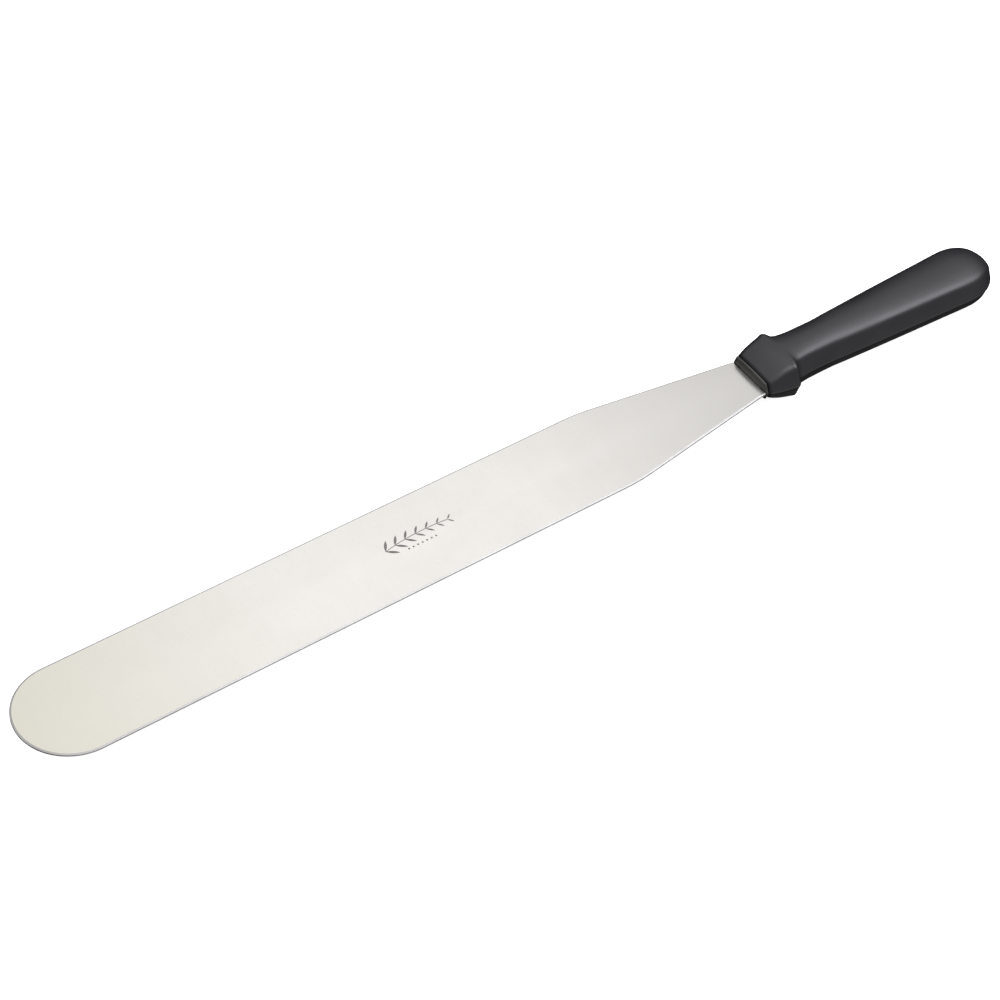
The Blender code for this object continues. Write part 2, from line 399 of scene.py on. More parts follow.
def fill(tree, slots, terms):
    """Give each input its term: a socket to link, a number, a vector or a colour."""
    for slot, term in zip(slots, terms):
        if isinstance(term, bpy.types.NodeSocket):
            link(tree, term, slot)
        elif slot.type == "RGBA":
            slot.default_value = (*term, 1.0)
        else:
            slot.default_value = term


def add_node(tree, kind, **terms):
    """A node with some of its inputs given by name, an underscore standing for a space."""
    node = tree.nodes.new(kind)
    fill(tree, [node.inputs[name.replace("_", " ")] for name in terms], terms.values())
    return node


def add_math(tree, operation, first, second):
    """A Math node of two terms, each a socket or a number."""
    node = tree.nodes.new("ShaderNodeMath")
    node.operation = operation
    fill(tree, node.inputs, (first, second))
    return node.outputs[0]


def times(tree, first, second):
    return add_math(tree, "MULTIPLY", first, second)


def combine(tree, x, y, z):
    node = tree.nodes.new("ShaderNodeCombineXYZ")
    fill(tree, node.inputs, (x, y, z))
    return node.outputs[0]


def split(tree, vector):
    """The x, y and z of a vector."""
    node = tree.nodes.new("ShaderNodeSeparateXYZ")
    link(tree, vector, node.inputs[0])
    return node.outputs


def joined(tree, *parts):
    join = tree.nodes.new("GeometryNodeJoinGeometry")
    for part in parts:
        link(tree, part, join.inputs[0])
    return join.outputs[0]


def closed_plate(tree, flat, thickness):
    """Give a flat outline its thickness: the extruded faces, joined to the flat one turned over."""
    raised = add_node(tree, "GeometryNodeExtrudeMesh", Mesh=flat, Offset_Scale=thickness,
                      Individual=False)
    turned = add_node(tree, "GeometryNodeFlipFaces", Mesh=flat)
    both = joined(tree, raised.outputs["Mesh"], turned.outputs[0])
    merge = add_node(tree, "GeometryNodeMergeByDistance", Geometry=both, Distance=0.001 * MM)
    return merge.outputs[0]


def leaf_shape(tree, length, width, thickness):
    """A leaf that is pointed at both ends, its stalk end just clear of the origin."""
    circle = add_node(tree, "GeometryNodeMeshCircle", Vertices=20, Radius=1.0)
    circle.fill_type = "NGON"
    spot = split(tree, tree.nodes.new("GeometryNodeInputPosition").outputs[0])
    along = times(tree, add_math(tree, "ADD", spot[0], 1.0), 0.5)
    across = times(tree, spot[1], add_math(tree, "ABSOLUTE", spot[1], 0.0))
    x = add_math(tree, "ADD", times(tree, along, length), STALK_GAP)
    y = times(tree, across, times(tree, width, 0.5))
    place = add_node(tree, "GeometryNodeSetPosition", Geometry=circle.outputs[0],
                     Position=combine(tree, x, y, 0.0))
    return closed_plate(tree, place.outputs[0], thickness)


def leaves_on(tree, stem, count, leaf, side, spread):
    """Leaves along the stem on one side, smaller towards its end."""
    points = add_node(tree, "GeometryNodeCurveToPoints", Curve=stem, Count=count)
    heading = split(tree, points.outputs["Tangent"])
    angle = add_math(tree, "ARCTAN2", heading[1], heading[0])
    angle = add_math(tree, "ADD", angle, times(tree, spread, side))
    turn = add_node(tree, "FunctionNodeEulerToRotation", Euler=combine(tree, 0.0, 0.0, angle))
    share = add_math(tree, "DIVIDE", tree.nodes.new("GeometryNodeInputIndex").outputs[0], count)
    size = add_math(tree, "SUBTRACT", 1.0, times(tree, share, LEAF_SHRINK))
    place = add_node(tree, "GeometryNodeInstanceOnPoints", Points=points.outputs["Points"],
                     Instance=leaf, Rotation=turn.outputs[0], Scale=combine(tree, size, size, 1.0))
    return place.outputs[0]


def sprig_tree():
    """Geometry nodes: a curved stem, paired leaves that shrink along it, and dots below."""
    tree = bpy.data.node_groups.new("etched_sprig", "GeometryNodeTree")
    tree.interface.new_socket("Geometry", in_out="INPUT", socket_type="NodeSocketGeometry")
    for name in ("Length", "Rise", "Leaf Length", "Leaf Width", "Leaf Spread", "Stem Width",
                 "Dot Radius", "Dot Spacing", "Thickness"):
        tree.interface.new_socket(name, in_out="INPUT", socket_type="NodeSocketFloat")
    for name in ("Leaf Pairs", "Dots"):
        tree.interface.new_socket(name, in_out="INPUT", socket_type="NodeSocketInt")
    tree.interface.new_socket("Material", in_out="INPUT", socket_type="NodeSocketMaterial")
    tree.interface.new_socket("Geometry", in_out="OUTPUT", socket_type="NodeSocketGeometry")
    given = tree.nodes.new("NodeGroupInput").outputs
    length, rise, thickness = given["Length"], given["Rise"], given["Thickness"]

    start = combine(tree, times(tree, length, -0.5), 0.0, 0.0)
    middle = combine(tree, 0.0, rise, 0.0)
    end = combine(tree, times(tree, length, 0.5), times(tree, rise, 0.4), 0.0)
    stem = add_node(tree, "GeometryNodeCurveQuadraticBezier", Resolution=24, Start=start,
                    Middle=middle, End=end).outputs[0]
    profile = add_node(tree, "GeometryNodeCurvePrimitiveQuadrilateral",
                       Width=given["Stem Width"], Height=thickness)
    ribbon = add_node(tree, "GeometryNodeCurveToMesh", Curve=stem,
                      Profile_Curve=profile.outputs[0], Fill_Caps=True)
    lift = add_node(tree, "GeometryNodeTransform", Geometry=ribbon.outputs[0],
                    Translation=combine(tree, 0.0, 0.0, times(tree, thickness, 0.5)))

    leaf = leaf_shape(tree, given["Leaf Length"], given["Leaf Width"], thickness)
    leaves = [leaves_on(tree, stem, given["Leaf Pairs"], leaf, side, given["Leaf Spread"])
              for side in (1.0, -1.0)]

    reach = times(tree, add_math(tree, "SUBTRACT", given["Dots"], 1.0), given["Dot Spacing"])
    first = combine(tree, times(tree, reach, -0.5), times(tree, rise, -DOT_DROP), 0.0)
    line = add_node(tree, "GeometryNodeMeshLine", Count=given["Dots"], Start_Location=first,
                    Offset=combine(tree, given["Dot Spacing"], 0.0, 0.0))
    dot = add_node(tree, "GeometryNodeMeshCircle", Vertices=16, Radius=given["Dot Radius"])
    dot.fill_type = "NGON"
    dots = add_node(tree, "GeometryNodeInstanceOnPoints", Points=line.outputs[0],
                    Instance=closed_plate(tree, dot.outputs[0], thickness))

    whole = joined(tree, lift.outputs[0], *leaves, dots.outputs[0])
    real = add_node(tree, "GeometryNodeRealizeInstances", Geometry=whole)
    paint = add_node(tree, "GeometryNodeSetMaterial", Geometry=real.outputs[0],
                     Material=given["Material"])
    link(tree, paint.outputs[0], tree.nodes.new("NodeGroupOutput").inputs[0])
    return tree


def set_inputs(modifier, values):
    """Set a node modifier's inputs by their sockets' identifiers."""
    for item in modifier.node_group.interface.items_tree:
        if item.item_type == "SOCKET" and item.in_out == "INPUT" and item.name in values:
            modifier[item.identifier] = values[item.name]


def build_sprig(settings):
    """The etched ornament, a leafy sprig over dots, as thin plates on the blade's top face."""
    ink = etched_grey("etched_grey", settings.etch_color)
    holder = new_object("sprig_nodes", bpy.data.meshes.new("sprig_nodes"))
    modifier = holder.modifiers.new("Sprig", "NODES")
    modifier.node_group = sprig_tree()
    set_inputs(modifier, {
        "Length": settings.length, "Rise": settings.rise, "Leaf Length": settings.leaf_length,
        "Leaf Width": settings.leaf_width, "Leaf Spread": settings.leaf_spread,
        "Stem Width": settings.stem_width, "Dot Radius": settings.dot_radius,
        "Dot Spacing": settings.dot_spacing, "Thickness": settings.thickness,
        "Leaf Pairs": settings.leaf_pairs, "Dots": settings.dots, "Material": ink,
    })
    mesh = finished_mesh(holder)
    sunk = settings.thickness * 0.3
    place = Matrix.Translation((FACE_X + settings.station, settings.across, BLADE_HIGH.z - sunk))
    mesh.transform(place @ Matrix.Rotation(settings.tilt, 4, "Z"))
    shade(mesh, ETCH_SHARP_ANGLE)
    return make_piece("etched_sprig", mesh, ink, "blade_steel")


# ---- the handle ---------------------------------------------------------------------------

def shell_stations():
    """Stations from the mouth to the start of the round butt, closest round the guard."""
    mouth, guard, waist, butt = HANDLE_ROWS[0][0], 0.0135, 0.0215, HANDLE_ROWS[-1][0]
    return (steps_between(mouth, guard, 26) + steps_between(guard, waist, 34)
            + steps_between(waist, butt, 70) + [butt])


def butt_rings(settings):
    """Rings that close the handle: nearly a half circle in plan and a blunter curve in profile."""
    x, *sizes = HANDLE_ROWS[-1]
    points = section(sizes, settings.crease_round, settings.side_round)
    rings = []
    steps = 28
    for k in range(1, steps):
        angle = math.pi / 2 * k / steps
        plan = math.cos(angle) ** BUTT_PLAN_POWER
        profile = math.cos(angle) ** BUTT_PROFILE_POWER
        station = x + (HANDLE_LENGTH - x) * math.sin(angle)
        rings.append(ring_at(station, [(y * plan, z * profile) for y, z in points]))
    return rings


def build_handle(settings):
    """The outer moulding: a skin from its hollow's bottom, out of the mouth and over the butt."""
    mouth, socket_end, deep = (HOLLOW_ROWS[k][0] for k in (0, 1, -1))
    rings = []
    for x in [deep - 5 * MM * k for k in range(23)] + [socket_end, mouth]:
        rings.append(ring_at(x, section(sizes_at(HOLLOW_ROWS, x), 0.8 * MM, 0.6 * MM)))
    for x in shell_stations():
        points = section(sizes_at(HANDLE_ROWS, x), settings.crease_round, settings.side_round)
        rings.append(ring_at(x, points))
    rings += butt_rings(settings)
    mesh = skin("handle", rings, flat_ends=(0,), pole=(SHELL_HIGH.x, 0.0, PLANE_Z))
    shade(mesh, SHARP_ANGLE)
    plastic = moulded_plastic("handle_plastic", settings.handle_color, settings.handle_roughness,
                              0.45 * MM)
    return make_piece("moulded_handle", mesh, plastic, "handle_black", "handle_shell")


def build_cap(settings):
    """The cap at the mouth: rounded flange, spigot and the tang's slot, as one ring-shaped skin."""
    flange_back = CAP_ROWS[-1][0]
    flange_stations = steps_between(0.0, flange_back, 12) + [flange_back]
    slot_points = section(SLOT_SIZES, 0.1 * MM, 0.1 * MM)
    spigot_points = section(SPIGOT_SIZES, 0.4 * MM, 0.4 * MM)
    rings = [ring_at(0.0, slot_points)]
    for x in flange_stations:
        rings.append(ring_at(x, section(sizes_at(CAP_ROWS, x), 0.6 * MM, 0.8 * MM)))
    rings += [ring_at(x, spigot_points) for x in (flange_back, SPIGOT_END)]
    rings += [ring_at(SPIGOT_END, slot_points)]
    mesh = skin("cap", rings, joined=True)
    shade(mesh, SHARP_ANGLE)
    plastic = moulded_plastic("cap_plastic", settings.cap_color, settings.cap_roughness, 0.35 * MM)
    return make_piece("collar_cap", mesh, plastic, "cap_black", "front_cap")


def finish_inner_parts(settings):
    """Give the solids inside the handle, the core halves and the pins, their finishes."""
    core = moulded_plastic("core_plastic", settings.core_color, 0.55, 0.6 * MM)
    pin = brushed_steel("pin_steel", settings.pin_color, settings.pin_color, 0.35, 0.0)
    finishes = {"core_top": core, "core_bottom": core, PIN_NODES[0]: pin, PIN_NODES[1]: pin}
    for node, material in finishes.items():
        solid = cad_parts[node]
        if not solid.material_slots:
            solid.data.materials.append(material)
        for slot in solid.material_slots:
            slot.material = material


# ---- finishes -----------------------------------------------------------------------------

TIP_SHADE_LENGTH = 0.36 * BLADE_LENGTH           # how far the tip's painted shade reaches
TIP_EDGE_SHADE_LENGTH = 0.30 * BLADE_LENGTH           # the same, for the painted shade on the bevel and the rim
NECK_SHADE_LENGTH = 0.33 * BLADE_LENGTH          # how far the neck's painted shade reaches
LINE_DEPTH = 0.02 * MM                          # of the brushed lines
GRAIN_DEPTH = 0.06 * MM                         # of the mould grain


def new_group(name, inputs, outputs):
    """An empty shader node group with named sockets: (name, type, default) in, (name, type) out."""
    group = bpy.data.node_groups.new(name, "ShaderNodeTree")
    for label, kind, default in inputs:
        socket = group.interface.new_socket(label, in_out="INPUT", socket_type=kind)
        if default is not None:
            socket.default_value = default
    for label, kind in outputs:
        group.interface.new_socket(label, in_out="OUTPUT", socket_type=kind)
    given = group.nodes.new("NodeGroupInput").outputs
    return group, given, group.nodes.new("NodeGroupOutput").inputs


def add_noise(tree, vector, scale, detail, roughness=0.5):
    return add_node(tree, "ShaderNodeTexNoise", Vector=vector, Scale=scale, Detail=detail,
                    Roughness=roughness).outputs[0]


def stretched(tree, vector, scale):
    node = tree.nodes.new("ShaderNodeVectorMath")
    node.operation = "MULTIPLY"
    fill(tree, node.inputs, (vector, scale))
    return node.outputs[0]


def ramp(tree, value, low, high, to_low=0.0, to_high=1.0):
    """A value's range low..high, spread over to_low..to_high and held there."""
    node = tree.nodes.new("ShaderNodeMapRange")
    fill(tree, node.inputs, (value, low, high, to_low, to_high))
    return node.outputs[0]


def mix_numbers(tree, share, first, second):
    """first where share is 0, second where it is 1."""
    change = times(tree, share, add_math(tree, "SUBTRACT", second, first))
    return add_math(tree, "ADD", first, change)


def mix_colors(tree, share, first, second):
    node = tree.nodes.new("ShaderNodeMix")
    node.data_type = "RGBA"
    fill(tree, [node.inputs[name] for name in ("Factor", "A", "B")], (share, first, second))
    return node.outputs["Result"]


def toned(color, share):
    return tuple(channel * share for channel in color)


def near_station(tree, spots, station, reach, tone=1.0):
    """Painted shade along the knife: given strength at a station, fading to nothing over the reach.
    """
    start = FACE_X + station
    return ramp(tree, split(tree, spots)[0], start, start + reach, tone, 0.0)


def brushing_group():
    """Ground steel: fine lines along Y, broad cloudy patches, and small dull specks."""
    if "steel_brushing" in bpy.data.node_groups:
        return bpy.data.node_groups["steel_brushing"]
    group, given, out = new_group(
        "steel_brushing", [("Vector", "NodeSocketVector", None)],
        [(name, "NodeSocketFloat") for name in ("Lines", "Patches", "Specks")])
    place = given["Vector"]
    fine = add_noise(group, stretched(group, place, (3200.0, 60.0, 3200.0)), 1.0, 3.0, 0.6)
    broad = add_noise(group, stretched(group, place, (700.0, 18.0, 700.0)), 1.0, 2.0)
    link(group, mix_numbers(group, 0.4, fine, broad), out["Lines"])
    link(group, ramp(group, add_noise(group, place, 75.0, 4.0, 0.6), 0.30, 0.70), out["Patches"])
    link(group, ramp(group, add_noise(group, place, 900.0, 2.0), 0.62, 0.78), out["Specks"])
    return group


def grain_group():
    """Moulded plastic: a fine matt grain, slow changes in sheen, and rubbed streaks along X."""
    if "moulded_grain" in bpy.data.node_groups:
        return bpy.data.node_groups["moulded_grain"]
    group, given, out = new_group(
        "moulded_grain",
        [("Vector", "NodeSocketVector", None), ("Grain Scale", "NodeSocketFloat", 2000.0)],
        [(name, "NodeSocketFloat") for name in ("Grain", "Sheen", "Rubs")])
    place = given["Vector"]
    link(group, add_noise(group, place, given["Grain Scale"], 2.0, 0.6), out["Grain"])
    link(group, ramp(group, add_noise(group, place, 70.0, 3.0), 0.3, 0.7), out["Sheen"])
    rubs = add_noise(group, stretched(group, place, (90.0, 1100.0, 1100.0)), 1.0, 2.0)
    link(group, ramp(group, rubs, 0.60, 0.80), out["Rubs"])
    return group


def new_material(name):
    """A node material, its tree, its shader, and the Object coordinates that its patterns read."""
    material = bpy.data.materials.new(name)
    material.use_nodes = True
    tree = material.node_tree
    shader = next(node for node in tree.nodes if node.type == "BSDF_PRINCIPLED")
    spots = tree.nodes.new("ShaderNodeTexCoord").outputs["Object"]
    return material, tree, shader, spots


def add_group(tree, group, *terms):
    """A group's outputs, its inputs given in their order."""
    node = tree.nodes.new("ShaderNodeGroup")
    node.node_tree = group
    fill(tree, node.inputs, terms)
    return node.outputs


def add_bump(tree, shader, height, depth, strength):
    bump = add_node(tree, "ShaderNodeBump", Height=height, Distance=depth, Strength=strength)
    link(tree, bump.outputs[0], shader.inputs["Normal"])


def brushed_steel(name, color, shaded_tip_color, roughness, tone):
    """Satin steel, brushed across; the last argument sets how much painted shade darkens tip and
    neck.
    """
    material, tree, shader, spots = new_material(name)
    brushing = add_group(tree, brushing_group(), spots)
    steel = mix_colors(tree, times(tree, brushing["Patches"], 0.5), color, toned(color, 0.93))
    # painted shade: the steel darker and warmer towards the tip
    tip_shade = near_station(tree, spots, -BLADE_LENGTH, TIP_SHADE_LENGTH, tone)
    steel = mix_colors(tree, tip_shade, steel, shaded_tip_color)
    # painted shade: the steel darker towards the neck
    neck_shade = near_station(tree, spots, 0.0, -NECK_SHADE_LENGTH, tone)
    steel = mix_colors(tree, neck_shade, steel, toned(color, 0.72))
    steel = mix_colors(tree, times(tree, brushing["Specks"], 0.25), steel, toned(color, 0.7))
    link(tree, steel, shader.inputs["Base Color"])
    dull = ramp(tree, brushing["Lines"], 0.3, 0.7, roughness - 0.03, roughness + 0.04)
    link(tree, dull, shader.inputs["Roughness"])
    shader.inputs["Metallic"].default_value = 1.0
    shader.inputs["Anisotropic"].default_value = 0.2
    add_bump(tree, shader, brushing["Lines"], LINE_DEPTH, 0.08)
    return material


def cut_edge_steel(name, color, shaded_tip_color):
    """The duller steel of the ground bevel and cut rim, darkened with painted shade, most round the
    tip.
    """
    material, tree, shader, spots = new_material(name)
    brushing = add_group(tree, brushing_group(), spots)
    # painted shade: the bevel and rim darker still round the tip
    tip_shade = near_station(tree, spots, -BLADE_LENGTH, TIP_EDGE_SHADE_LENGTH)
    steel = mix_colors(tree, tip_shade, color, shaded_tip_color)
    steel = mix_colors(tree, times(tree, brushing["Patches"], 0.15), steel, (0.0, 0.0, 0.0))
    link(tree, steel, shader.inputs["Base Color"])
    link(tree, ramp(tree, brushing["Lines"], 0.3, 0.7, 0.46, 0.58), shader.inputs["Roughness"])
    shader.inputs["Metallic"].default_value = 0.6
    add_bump(tree, shader, brushing["Lines"], LINE_DEPTH, 0.3)
    return material


def moulded_plastic(name, color, roughness, grain_size):
    """Satin black plastic with a fine mould grain, slow sheen changes and a few rubbed streaks."""
    material, tree, shader, spots = new_material(name)
    grain = add_group(tree, grain_group(), spots, 1.0 / grain_size)
    plastic = mix_colors(tree, grain["Sheen"], color, toned(color, 1.35))
    plastic = mix_colors(tree, times(tree, grain["Rubs"], 0.35), plastic, toned(color, 1.9))
    link(tree, plastic, shader.inputs["Base Color"])
    dull = ramp(tree, grain["Sheen"], 0.0, 1.0, roughness - 0.03, roughness + 0.04)
    link(tree, dull, shader.inputs["Roughness"])
    shader.inputs["Specular IOR Level"].default_value = 0.6
    add_bump(tree, shader, grain["Grain"], GRAIN_DEPTH, 0.35)
    return material


def etched_grey(name, color):
    """The dark oxide of an etched mark, uneven where the steel shows through."""
    material, tree, shader, spots = new_material(name)
    patchy = ramp(tree, add_noise(tree, spots, 1400.0, 2.0), 0.35, 0.75)
    link(tree, mix_colors(tree, patchy, color, toned(color, 1.8)), shader.inputs["Base Color"])
    link(tree, ramp(tree, patchy, 0.0, 1.0, 0.5, 0.65), shader.inputs["Roughness"])
    return material


# ---- the stage ----------------------------------------------------------------------------

KEY_DIRECTION = Vector((0.39, -0.30, 0.87))     # from the handle towards the key softbox
KEY_DISTANCE = 1.5
KEY_TINT = (0.93, 0.93, 1.0)


def build_floor(settings):
    """A pale sweep that glows a little; the knife's gloss and shade don't pick it up."""
    mesh = bpy.data.meshes.new("studio_floor")
    half = settings.floor_size / 2
    corners = [(-half, -half, 0.0), (half, -half, 0.0), (half, half, 0.0), (-half, half, 0.0)]
    mesh.from_pydata(corners, [], [(0, 1, 2, 3)])
    floor = new_object("studio_floor", mesh)
    material, tree, shader, spots = new_material("pale_sweep")
    tint = ramp(tree, add_noise(tree, spots, 4.0, 2.0), 0.2, 0.8)
    pale = mix_colors(tree, tint, (0.90, 0.90, 0.90), (0.92, 0.92, 0.92))
    link(tree, pale, shader.inputs["Base Color"])
    shader.inputs["Roughness"].default_value = 0.9
    shader.inputs["Emission Color"].default_value = (1.0, 1.0, 1.0, 1.0)
    shader.inputs["Emission Strength"].default_value = settings.floor_glow
    mesh.materials.append(material)
    floor.visible_glossy = False
    floor.visible_diffuse = False
    floor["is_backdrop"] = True


def build_world(settings):
    """A bright dome over a band that is dim behind the knife and brighter in front of it.

    Light comes up from below in front too, as from a floor, and the camera sees plain white.
    """
    world = bpy.data.worlds.new("studio")
    bpy.context.scene.world = world
    world.use_nodes = True
    tree = world.node_tree
    background = next(node for node in tree.nodes if node.type == "BACKGROUND")
    x, y, z = split(tree, tree.nodes.new("ShaderNodeTexCoord").outputs["Generated"])
    behind = ramp(tree, y, -0.75, -0.15)
    front = ramp(tree, z, -0.7, -0.35, settings.bounce_light, settings.front_light)
    band = mix_numbers(tree, behind, front, settings.horizon_light)
    overhead = ramp(tree, z, math.sin(settings.horizon_top), math.sin(settings.dome_start))
    glow = mix_numbers(tree, overhead, band, settings.dome_light)
    seen = tree.nodes.new("ShaderNodeLightPath").outputs["Is Camera Ray"]
    link(tree, add_math(tree, "MAXIMUM", glow, seen), background.inputs["Strength"])
    background.inputs["Color"].default_value = (1.0, 1.0, 1.0, 1.0)


def build_key_light(settings):
    """A disk softbox, high over the near side of the handle."""
    light = bpy.data.lights.new("key_softbox", "AREA")
    light.shape = "DISK"
    light.size = settings.key_size
    light.energy = settings.key_power
    light.color = KEY_TINT
    lamp = new_object("key_softbox", light)
    handle = Vector((FACE_X + HANDLE_LENGTH / 2, 0.0, PLANE_Z))
    lamp.location = handle + KEY_DIRECTION * KEY_DISTANCE
    lamp.rotation_euler = (-KEY_DIRECTION).to_track_quat("-Z", "Y").to_euler()


def build_camera(settings):
    """The camera, turned to a point near the knife's middle."""
    low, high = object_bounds()
    middle = (low + high) / 2
    target = Vector((middle.x + settings.aim_x, middle.y + settings.aim_y, PLANE_Z))
    around, up = settings.azimuth, settings.elevation
    back = Vector((math.sin(around) * math.cos(up), -math.cos(around) * math.cos(up), math.sin(up)))
    data = bpy.data.cameras.new("camera")
    data.lens = settings.lens
    data.sensor_width = 36.0
    data.clip_start = 0.05
    data.clip_end = 200.0
    camera = new_object("camera", data)
    camera.location = target + back * settings.distance
    camera.rotation_euler = (-back).to_track_quat("-Z", "Y").to_euler()
    bpy.context.scene.camera = camera


# ---- add-on -------------------------------------------------------------------------------

class InkKnifeBladeSettings(bpy.types.PropertyGroup):
    edge_bevel: bpy.props.FloatProperty(
        name="Edge Bevel", description="Width of the ground bevel along the blade's edges",
        default=0.0008, min=0.0001, max=0.003, unit="LENGTH", precision=5)
    tip_bevel: bpy.props.FloatProperty(
        name="Tip Bevel", description="Width of the ground bevel round the tip",
        default=0.0009, min=0.0001, max=0.005, unit="LENGTH", precision=5)
    shoulder_radius: bpy.props.FloatProperty(
        name="Shoulder Radius", description="Rounding between the long edges and the neck",
        default=0.080, min=0.005, max=0.2, unit="LENGTH")
    steel_color: bpy.props.FloatVectorProperty(
        name="Steel", description="Colour of the steel in the middle of the blade",
        default=(0.855, 0.835, 0.797), subtype="COLOR", min=0.0, max=1.0)
    # Edge: partly a duller ground finish, partly painted shade on the bevel and rim
    edge_color: bpy.props.FloatVectorProperty(
        name="Edge", description="Colour of the ground bevel and the rim along the blade",
        default=(0.60, 0.595, 0.585), subtype="COLOR", min=0.0, max=1.0)
    # Tip Edge: painted shade, the bevel and rim darker still round the tip
    shaded_tip_edge_color: bpy.props.FloatVectorProperty(
        name="Tip Edge", description="Colour of the ground bevel and the rim round the tip",
        default=(0.44, 0.43, 0.42), subtype="COLOR", min=0.0, max=1.0)
    # Tip: painted shade, a darker and warmer tone laid over the steel at the tip
    shaded_tip_color: bpy.props.FloatVectorProperty(
        name="Tip", description="Colour of the steel at the blade's tip",
        default=(0.70, 0.675, 0.595), subtype="COLOR", min=0.0, max=1.0)


class InkKnifeSprigSettings(bpy.types.PropertyGroup):
    station: bpy.props.FloatProperty(
        name="Station", description="Middle of the ornament, from the collar's front face",
        default=-0.1685, unit="LENGTH")
    across: bpy.props.FloatProperty(
        name="Across", description="Middle of the ornament, from the blade's centre line",
        default=0.0012, unit="LENGTH")
    tilt: bpy.props.FloatProperty(
        name="Tilt", description="Turn of the ornament on the blade", default=0.0, subtype="ANGLE")
    length: bpy.props.FloatProperty(
        name="Length", description="Length of the sprig's stem", default=0.031, unit="LENGTH")
    rise: bpy.props.FloatProperty(
        name="Rise", description="How far the stem bows out", default=0.003, unit="LENGTH")
    leaf_length: bpy.props.FloatProperty(
        name="Leaf Length", description="Length of the largest leaf", default=0.0060, unit="LENGTH")
    leaf_width: bpy.props.FloatProperty(
        name="Leaf Width", description="Width of the largest leaf", default=0.0013, unit="LENGTH")
    leaf_spread: bpy.props.FloatProperty(
        name="Leaf Spread", description="Angle between a leaf and the stem",
        default=math.radians(48), subtype="ANGLE")
    leaf_pairs: bpy.props.IntProperty(
        name="Leaf Pairs", description="Pairs of leaves along the stem", default=7, min=1, max=20)
    stem_width: bpy.props.FloatProperty(
        name="Stem Width", description="Width of the stem", default=0.00035,
        unit="LENGTH", precision=5)
    dots: bpy.props.IntProperty(
        name="Dots", description="Dots in the row below", default=7, min=1, max=40)
    dot_radius: bpy.props.FloatProperty(
        name="Dot Radius", description="Radius of a dot", default=0.00045,
        unit="LENGTH", precision=5)
    dot_spacing: bpy.props.FloatProperty(
        name="Dot Spacing", description="Distance between dots", default=0.0022, unit="LENGTH")
    thickness: bpy.props.FloatProperty(
        name="Thickness", description="Thickness of the etched plates", default=0.00004,
        unit="LENGTH", precision=6)
    etch_color: bpy.props.FloatVectorProperty(
        name="Etch", description="Colour of the etched mark",
        default=(0.115, 0.11, 0.105), subtype="COLOR", min=0.0, max=1.0)


class InkKnifeHandleSettings(bpy.types.PropertyGroup):
    crease_round: bpy.props.FloatProperty(
        name="Crease Round", description="Rounding of the long creases", default=0.0021,
        unit="LENGTH", precision=5)
    side_round: bpy.props.FloatProperty(
        name="Side Round", description="Rounding where the side facets meet", default=0.0018,
        unit="LENGTH", precision=5)
    handle_color: bpy.props.FloatVectorProperty(
        name="Handle", description="Colour of the handle's plastic",
        default=(0.0105, 0.0105, 0.0122), subtype="COLOR", min=0.0, max=1.0)
    handle_roughness: bpy.props.FloatProperty(
        name="Handle Roughness", description="Dullness of the handle", default=0.38,
        subtype="FACTOR", min=0.0, max=1.0)
    cap_color: bpy.props.FloatVectorProperty(
        name="Cap", description="Colour of the front cap's plastic",
        default=(0.0370, 0.0370, 0.0345), subtype="COLOR", min=0.0, max=1.0)
    cap_roughness: bpy.props.FloatProperty(
        name="Cap Roughness", description="Dullness of the front cap", default=0.42,
        subtype="FACTOR", min=0.0, max=1.0)
    core_color: bpy.props.FloatVectorProperty(
        name="Core", description="Colour of the core halves inside the handle",
        default=(0.09, 0.09, 0.095), subtype="COLOR", min=0.0, max=1.0)
    pin_color: bpy.props.FloatVectorProperty(
        name="Pins", description="Colour of the pins through the tang",
        default=(0.62, 0.62, 0.63), subtype="COLOR", min=0.0, max=1.0)


class InkKnifeStageSettings(bpy.types.PropertyGroup):
    azimuth: bpy.props.FloatProperty(
        name="Azimuth", description="Where the camera stands round the knife",
        default=math.radians(-34.11), subtype="ANGLE")
    elevation: bpy.props.FloatProperty(
        name="Elevation", description="How high the camera stands",
        default=math.radians(45.95), subtype="ANGLE")
    distance: bpy.props.FloatProperty(
        name="Distance", description="From the camera to its target", default=1.5289, unit="LENGTH")
    lens: bpy.props.FloatProperty(
        name="Lens", description="Focal length", default=133.24, unit="CAMERA")
    aim_x: bpy.props.FloatProperty(
        name="Aim Along", description="Target along the knife, from its middle", default=-0.01484,
        unit="LENGTH", precision=5)
    aim_y: bpy.props.FloatProperty(
        name="Aim Across", description="Target across the knife, from its middle", default=-0.00016,
        unit="LENGTH", precision=5)
    floor_size: bpy.props.FloatProperty(
        name="Floor Size", description="Side of the square floor", default=60.0, unit="LENGTH")
    floor_glow: bpy.props.FloatProperty(
        name="Floor Glow", description="The sweep's own light", default=0.85)
    bounce_light: bpy.props.FloatProperty(
        name="Bounce Light", description="Light from below, in front of the knife", default=0.9)
    front_light: bpy.props.FloatProperty(
        name="Front Light", description="Light at the horizon in front of the knife", default=0.38)
    horizon_light: bpy.props.FloatProperty(
        name="Horizon Light", description="Light at the horizon behind the knife", default=0.02)
    dome_light: bpy.props.FloatProperty(
        name="Dome Light", description="Light of the dome overhead", default=1.13)
    horizon_top: bpy.props.FloatProperty(
        name="Horizon Top", description="Height of the dim band", default=math.radians(24),
        subtype="ANGLE")
    dome_start: bpy.props.FloatProperty(
        name="Dome Start", description="Where full light starts", default=math.radians(42),
        subtype="ANGLE")
    key_size: bpy.props.FloatProperty(
        name="Key Size", description="Width of the key softbox", default=1.4, unit="LENGTH")
    key_power: bpy.props.FloatProperty(
        name="Key Power", description="Power of the key softbox", default=18.5, unit="POWER")


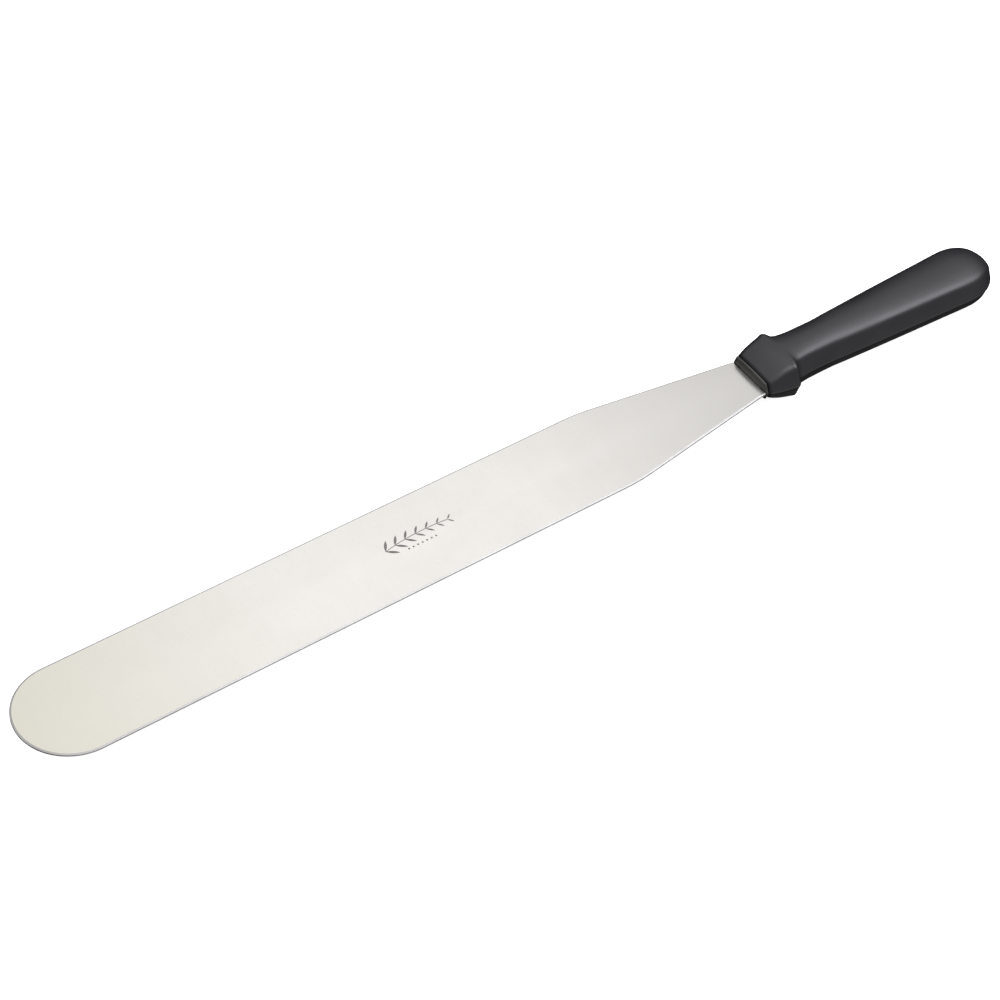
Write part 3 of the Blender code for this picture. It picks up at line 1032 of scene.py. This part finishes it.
class INKKNIFE_OT_blade(bpy.types.Operator):
    """Build the blade: round tip, ground bevel, shoulders, neck and the pinned tang"""
    bl_idname = "ink_knife.blade"
    bl_label = "Blade"
    bl_options = {"REGISTER", "UNDO"}

    def execute(self, context):
        build_blade(context.scene.ink_knife_blade)
        return {"FINISHED"}


class INKKNIFE_OT_sprig(bpy.types.Operator):
    """Etch the leafy ornament on the blade's top face"""
    bl_idname = "ink_knife.sprig"
    bl_label = "Etched Sprig"
    bl_options = {"REGISTER", "UNDO"}

    def execute(self, context):
        build_sprig(context.scene.ink_knife_sprig)
        return {"FINISHED"}


class INKKNIFE_OT_handle(bpy.types.Operator):
    """Build the handle's outer moulding: collar, guard, waist, body and round butt"""
    bl_idname = "ink_knife.handle"
    bl_label = "Handle"
    bl_options = {"REGISTER", "UNDO"}

    def execute(self, context):
        build_handle(context.scene.ink_knife_handle)
        return {"FINISHED"}


class INKKNIFE_OT_cap(bpy.types.Operator):
    """Build the cap that closes the handle's mouth round the tang"""
    bl_idname = "ink_knife.cap"
    bl_label = "Front Cap"
    bl_options = {"REGISTER", "UNDO"}

    def execute(self, context):
        build_cap(context.scene.ink_knife_handle)
        return {"FINISHED"}


class INKKNIFE_OT_inner_parts(bpy.types.Operator):
    """Finish the core halves and the pins inside the handle"""
    bl_idname = "ink_knife.inner_parts"
    bl_label = "Core and Pins"
    bl_options = {"REGISTER", "UNDO"}

    def execute(self, context):
        finish_inner_parts(context.scene.ink_knife_handle)
        return {"FINISHED"}


class INKKNIFE_OT_stage(bpy.types.Operator):
    """Set the floor, the light and the camera"""
    bl_idname = "ink_knife.stage"
    bl_label = "Stage"
    bl_options = {"REGISTER", "UNDO"}

    def execute(self, context):
        settings = context.scene.ink_knife_stage
        build_floor(settings)
        build_world(settings)
        build_key_light(settings)
        build_camera(settings)
        context.scene.view_settings.view_transform = "Standard"
        return {"FINISHED"}


SETTINGS = (
    ("ink_knife_blade", InkKnifeBladeSettings),
    ("ink_knife_sprig", InkKnifeSprigSettings),
    ("ink_knife_handle", InkKnifeHandleSettings),
    ("ink_knife_stage", InkKnifeStageSettings),
)
OPERATORS = (INKKNIFE_OT_blade, INKKNIFE_OT_sprig, INKKNIFE_OT_handle, INKKNIFE_OT_cap,
             INKKNIFE_OT_inner_parts, INKKNIFE_OT_stage)


class INKKNIFE_PT_panel(bpy.types.Panel):
    """The knife's pieces and its stage, each with a button"""
    bl_idname = "INKKNIFE_PT_panel"
    bl_label = "Ink Knife"
    bl_space_type = "VIEW_3D"
    bl_region_type = "UI"
    bl_category = "Ink Knife"

    def draw(self, context):
        for operator in OPERATORS:
            self.layout.operator(operator.bl_idname)
        for name, kind in SETTINGS:
            box = self.layout.box()
            box.label(text=kind.__name__.replace("InkKnife", "").replace("Settings", ""))
            for prop in kind.__annotations__:
                box.prop(getattr(context.scene, name), prop)


def register():
    for name, kind in SETTINGS:
        bpy.utils.register_class(kind)
        setattr(bpy.types.Scene, name, bpy.props.PointerProperty(type=kind))
    for kind in OPERATORS + (INKKNIFE_PT_panel,):
        bpy.utils.register_class(kind)


def unregister():
    for kind in (INKKNIFE_PT_panel,) + OPERATORS:
        bpy.utils.unregister_class(kind)
    for name, kind in SETTINGS:
        delattr(bpy.types.Scene, name)
        bpy.utils.unregister_class(kind)


def main():
    register()
    bpy.ops.ink_knife.blade()
    bpy.ops.ink_knife.sprig()
    bpy.ops.ink_knife.handle()
    bpy.ops.ink_knife.cap()
    bpy.ops.ink_knife.inner_parts()
    bpy.ops.ink_knife.stage()


if __name__ == "__main__":
    main()
